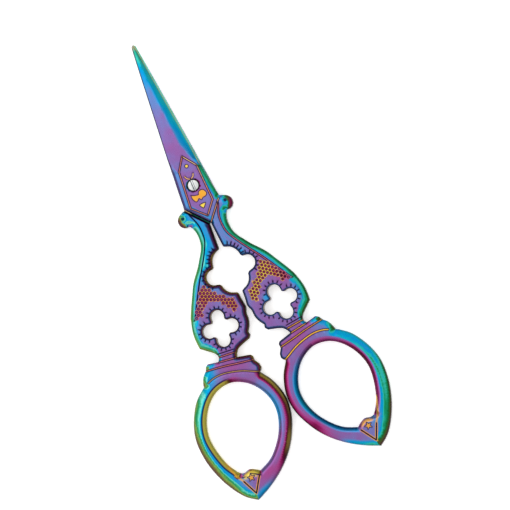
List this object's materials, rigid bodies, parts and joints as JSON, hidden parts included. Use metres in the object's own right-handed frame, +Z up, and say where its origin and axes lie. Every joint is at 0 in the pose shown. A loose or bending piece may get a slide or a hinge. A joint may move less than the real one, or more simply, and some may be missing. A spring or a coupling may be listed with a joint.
{
  "type": "embroidery scissors",
  "caption": "Small ornamental scissors with pointed blades, pierced and engraved shanks, egg-shaped finger bows and a slotted pivot screw.",
  "frame": {"origin": "on the pivot's axis, in the plane of the underside that the closed scissors lie on", "axes": "+Y towards the blade tips, +X towards the front half's handle, +Z up, out of the screw's slotted head"},
  "size_m": [0.0554, 0.1273, 0.0033],
  "materials": {
    "front_coating": "polished steel under an iridescent coating, violet on the level faces and blue to green on the slopes",
    "back_coating": "polished steel under an iridescent coating, violet and blue on the level faces and green to olive on the slopes",
    "bare_steel": "uncoated turned steel"
  },
  "bodies": {
    "back": {"back_half": "back_coating", "pivot_screw": "bare_steel"},
    "front": {"front_half": "front_coating"}
  },
  "joints": [
    {"name": "pivot", "type": "hinge", "parent": "back", "child": "front", "pos_m": [0, 0, 0.0016], "axis": [0, 0, 1], "range_deg": [0, 70]}
  ]
}
